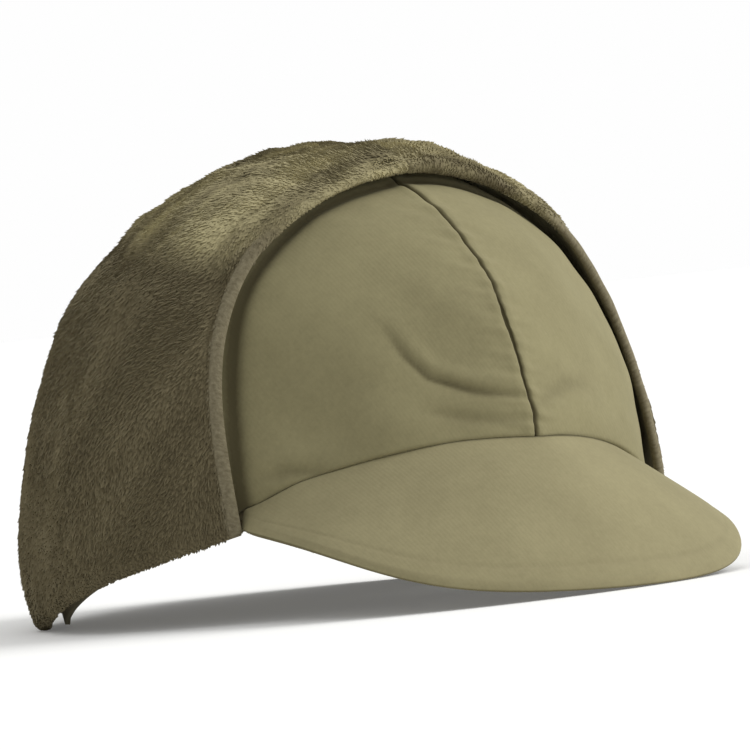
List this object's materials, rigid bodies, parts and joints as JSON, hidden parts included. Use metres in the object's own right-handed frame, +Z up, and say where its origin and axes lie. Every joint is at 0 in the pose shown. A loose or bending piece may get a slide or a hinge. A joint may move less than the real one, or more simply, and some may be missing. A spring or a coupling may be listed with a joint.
{
  "type": "winter field cap",
  "caption": "Winter field cap with a soft domed cotton crown, a curved short peak, and a pile-lined neck and ear flap folded up around the sides, back and top.",
  "frame": {"origin": "centre of the bounding box's base, on the surface the cap lies on", "axes": "+X toward the wearer's left, -Y toward the peak, +Z up; the cap lies at rest on its peak and the low points of its flap"},
  "size_m": [0.1922, 0.2388, 0.1306],
  "materials": {
    "crown_cloth": "light olive khaki cotton drill, matt",
    "flap_pile": "dark olive brown wool pile, short and dense",
    "peak_cloth": "light olive khaki cotton drill over a soft stiffener, matt",
    "band_cloth": "dark olive cotton band, matt"
  },
  "bodies": {
    "root": {"crown_right": "crown_cloth", "crown_left": "crown_cloth", "flap_right": "flap_pile", "flap_left": "flap_pile", "peak": "peak_cloth", "sweatband": "band_cloth"}
  },
  "joints": []
}
